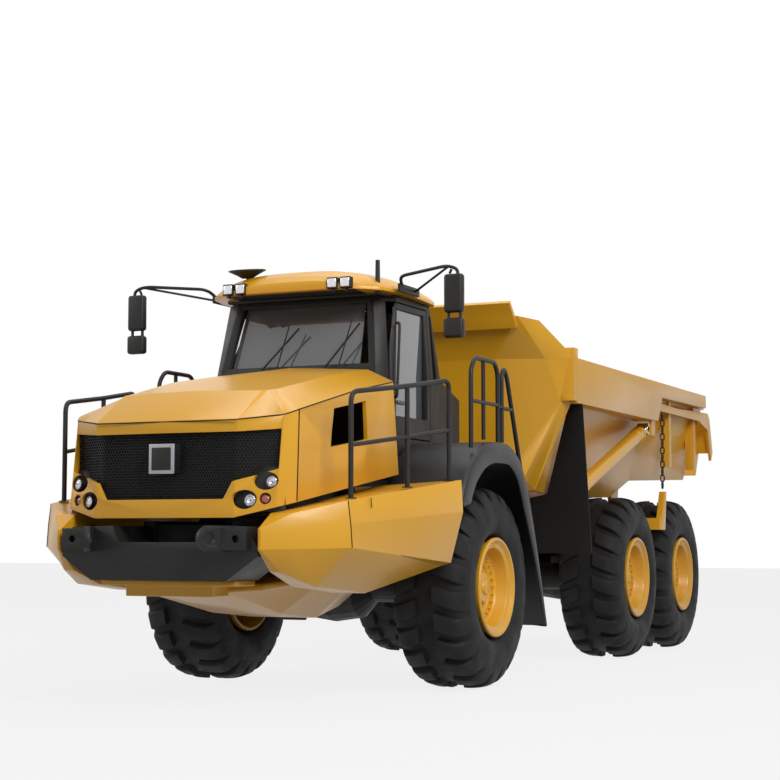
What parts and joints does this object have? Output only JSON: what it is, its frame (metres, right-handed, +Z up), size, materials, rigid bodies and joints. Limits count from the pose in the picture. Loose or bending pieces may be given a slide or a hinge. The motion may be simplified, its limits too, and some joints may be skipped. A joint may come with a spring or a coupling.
{
  "type": "articulated dump truck",
  "caption": "Articulated dump truck with a hinged frame, a tipping open bed, hoist cylinders, a raised cab and large lugged tyres.",
  "frame": {"origin": "centre of the overall box on the ground, under the middle of the truck's length", "axes": "+Z up, -Y forwards, +X to the truck's left"},
  "size_m": [3.44, 11.72, 3.88],
  "materials": {
    "yellow_paint": "gloss yellow machine enamel",
    "charcoal_paint": "satin charcoal paint and moulded plastic",
    "tyre": "black tyre rubber on a painted rim",
    "rubber": "black rubber sheet",
    "glass": "dark tinted glass",
    "steel": "dark cast and forged steel",
    "chrome": "polished hard chrome",
    "seat_fabric": "dark woven seat cloth"
  },
  "bodies": {
    "root": {"front_frame": "charcoal_paint", "cab_platform": "charcoal_paint", "engine_block": "steel", "belly_pan": "yellow_paint", "front_axle": "charcoal_paint", "bumper": "charcoal_paint", "bumper_chin": "yellow_paint", "wing_left": "yellow_paint", "wing_right": "yellow_paint", "fender_left": "charcoal_paint", "fender_right": "charcoal_paint", "cab_shell": "charcoal_paint", "cab_roof": "yellow_paint", "cab_glass": "glass", "driver_seat": "seat_fabric", "dash_and_steering_wheel": "charcoal_paint", "service_box": "charcoal_paint", "mirror_left": "charcoal_paint", "mirror_right": "charcoal_paint", "handrail_front_left": "charcoal_paint", "handrail_front_right": "charcoal_paint", "handrail_side_left": "charcoal_paint", "handrail_side_right": "charcoal_paint", "steer_barrel_left": "charcoal_paint", "steer_barrel_right": "charcoal_paint"},
    "hood": {"hood": "yellow_paint", "grille": "charcoal_paint"},
    "cab_door": {"cab_door": "charcoal_paint", "cab_door_glass": "glass"},
    "wheel_front_left": {"wheel_front_left": "tyre"},
    "wheel_front_right": {"wheel_front_right": "tyre"},
    "hitch_yoke": {"hitch_yoke": "charcoal_paint"},
    "steer_rod_left": {"steer_rod_left": "chrome"},
    "steer_rod_right": {"steer_rod_right": "chrome"},
    "rear_frame": {"rear_frame": "charcoal_paint", "mid_axle": "charcoal_paint", "rear_axle": "charcoal_paint", "walking_beam_left": "charcoal_paint", "walking_beam_right": "charcoal_paint"},
    "wheel_mid_left": {"wheel_mid_left": "tyre"},
    "wheel_mid_right": {"wheel_mid_right": "tyre"},
    "wheel_rear_left": {"wheel_rear_left": "tyre"},
    "wheel_rear_right": {"wheel_rear_right": "tyre"},
    "bed": {"bed": "yellow_paint", "bed_flap_left": "rubber", "bed_flap_right": "rubber"},
    "tailgate": {"tailgate": "yellow_paint"},
    "hoist_barrel_left": {"hoist_barrel_left": "yellow_paint"},
    "hoist_barrel_right": {"hoist_barrel_right": "yellow_paint"},
    "hoist_rod_left": {"hoist_rod_left": "chrome"},
    "hoist_rod_right": {"hoist_rod_right": "chrome"},
    "gate_chain_left": {"gate_chain_left": "steel"},
    "gate_chain_right": {"gate_chain_right": "steel"}
  },
  "joints": [
    {"name": "wheel_front_left_spin", "type": "hinge", "parent": "root", "child": "wheel_front_left", "pos_m": [1.28, -2.44, 0.915], "axis": [1, 0, 0], "continuous": true},
    {"name": "wheel_front_right_spin", "type": "hinge", "parent": "root", "child": "wheel_front_right", "pos_m": [-1.28, -2.44, 0.915], "axis": [1, 0, 0], "continuous": true},
    {"name": "steer_articulation", "type": "hinge", "parent": "root", "child": "hitch_yoke", "pos_m": [0, -0.89, 1.2], "axis": [0, 0, 1], "range_deg": [-45, 45]},
    {"name": "frame_oscillation", "type": "hinge", "parent": "hitch_yoke", "child": "rear_frame", "pos_m": [0, -0.89, 1.2], "axis": [0, 1, 0], "range_deg": [-15, 15]},
    {"name": "wheel_mid_left_spin", "type": "hinge", "parent": "rear_frame", "child": "wheel_mid_left", "pos_m": [1.28, 2.06, 0.915], "axis": [1, 0, 0], "continuous": true},
    {"name": "wheel_rear_left_spin", "type": "hinge", "parent": "rear_frame", "child": "wheel_rear_left", "pos_m": [1.28, 4.04, 0.915], "axis": [1, 0, 0], "continuous": true},
    {"name": "wheel_mid_right_spin", "type": "hinge", "parent": "rear_frame", "child": "wheel_mid_right", "pos_m": [-1.28, 2.06, 0.915], "axis": [1, 0, 0], "continuous": true},
    {"name": "wheel_rear_right_spin", "type": "hinge", "parent": "rear_frame", "child": "wheel_rear_right", "pos_m": [-1.28, 4.04, 0.915], "axis": [1, 0, 0], "continuous": true},
    {"name": "bed_tip", "type": "hinge", "parent": "rear_frame", "child": "bed", "pos_m": [0, 4.51, 1.78], "axis": [-1, 0, 0], "range_deg": [0, 70]},
    {"name": "tailgate_swing", "type": "hinge", "parent": "bed", "child": "tailgate", "pos_m": [0, 5.28, 3.14], "axis": [1, 0, 0], "range_deg": [0, 47.6]},
    {"name": "hoist_barrel_left_swing", "type": "hinge", "parent": "rear_frame", "child": "hoist_barrel_left", "pos_m": [1.49, 0.32, 1.87], "axis": [1, 0, 0], "range_deg": [0, 4.63]},
    {"name": "hoist_rod_left_slide", "type": "slide", "parent": "hoist_barrel_left", "child": "hoist_rod_left", "axis": [0, 0.9535, 0.3013], "range_m": [0, 2.1728]},
    {"name": "gate_chain_left_swing", "type": "hinge", "parent": "rear_frame", "child": "gate_chain_left", "pos_m": [1.615, 3.18, 2], "axis": [-1, 0, 0], "range_deg": [0, 80.6]},
    {"name": "hoist_barrel_right_swing", "type": "hinge", "parent": "rear_frame", "child": "hoist_barrel_right", "pos_m": [-1.49, 0.32, 1.87], "axis": [1, 0, 0], "range_deg": [0, 4.63]},
    {"name": "hoist_rod_right_slide", "type": "slide", "parent": "hoist_barrel_right", "child": "hoist_rod_right", "axis": [0, 0.9535, 0.3013], "range_m": [0, 2.1728]},
    {"name": "gate_chain_right_swing", "type": "hinge", "parent": "rear_frame", "child": "gate_chain_right", "pos_m": [-1.615, 3.18, 2], "axis": [-1, 0, 0], "range_deg": [0, 80.6]},
    {"name": "steer_rod_left_slide", "type": "slide", "parent": "root", "child": "steer_rod_left", "axis": [0, 1, 0], "range_m": [-0.3351, 0.3351]},
    {"name": "steer_rod_right_slide", "type": "slide", "parent": "root", "child": "steer_rod_right", "axis": [0, 1, 0], "range_m": [-0.3351, 0.3351]},
    {"name": "hood_lift", "type": "hinge", "parent": "root", "child": "hood", "pos_m": [0, -5.54, 1.58], "axis": [1, 0, 0], "range_deg": [0, 65]},
    {"name": "cab_door_swing", "type": "hinge", "parent": "root", "child": "cab_door", "pos_m": [0.92, -2.32, 2.7], "axis": [0, 0, 1], "range_deg": [0, 50]}
  ],
  "couplings": [
    {"joint": "tailgate_swing", "follows": "bed_tip", "ratio": 0.68},
    {"joint": "hoist_barrel_left_swing", "follows": "bed_tip", "ratio": 0.064654},
    {"joint": "hoist_rod_left_slide", "follows": "bed_tip", "m_per_rad": 1.7744},
    {"joint": "gate_chain_left_swing", "follows": "bed_tip", "ratio": 1.15},
    {"joint": "hoist_barrel_right_swing", "follows": "bed_tip", "ratio": 0.064654},
    {"joint": "hoist_rod_right_slide", "follows": "bed_tip", "m_per_rad": 1.7744},
    {"joint": "gate_chain_right_swing", "follows": "bed_tip", "ratio": 1.15},
    {"joint": "steer_rod_left_slide", "follows": "steer_articulation", "m_per_rad": 0.42653},
    {"joint": "steer_rod_right_slide", "follows": "steer_articulation", "m_per_rad": -0.42653}
  ]
}
